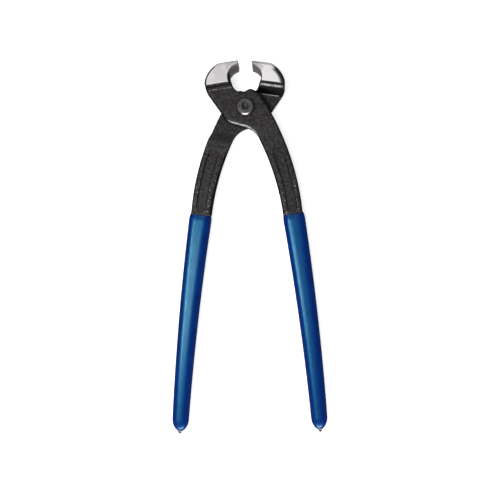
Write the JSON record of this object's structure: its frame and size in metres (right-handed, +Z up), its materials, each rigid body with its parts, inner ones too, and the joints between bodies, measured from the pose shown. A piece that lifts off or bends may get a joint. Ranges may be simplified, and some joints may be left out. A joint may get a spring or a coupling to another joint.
{
  "type": "tile nippers",
  "caption": "Hand nippers with two crossed forged levers on a rivet, wide ground jaws with carbide tips, and dipped grips.",
  "frame": {"origin": "middle of the footprint, on the surface that the tool lies on", "axes": "+Y along the tool from the handles to the jaws, +Z up through the lap joint, +X to the right seen from above"},
  "size_m": [0.096, 0.2284, 0.02],
  "materials": {
    "forged_steel": "black forged skin, jaw sides ground bright",
    "rivet_steel": "black, semi-matt, worn on the rim",
    "carbide": "finely ground grey carbide",
    "braze": "dull brazing alloy",
    "grip_vinyl": "semi-gloss dipped vinyl"
  },
  "bodies": {
    "rear": {"rear_lever": "forged_steel", "rear_carbide_tip": "carbide", "rear_tip_braze": "braze", "rear_grip": "grip_vinyl", "pivot_rivet": "rivet_steel"},
    "front": {"front_lever": "forged_steel", "front_carbide_tip": "carbide", "front_tip_braze": "braze", "front_grip": "grip_vinyl"}
  },
  "joints": [
    {"name": "jaw_pivot", "type": "hinge", "parent": "rear", "child": "front", "pos_m": [0, 0.08647, 0.01], "axis": [0, 0, 1], "range_deg": [-16.4, 26]}
  ]
}
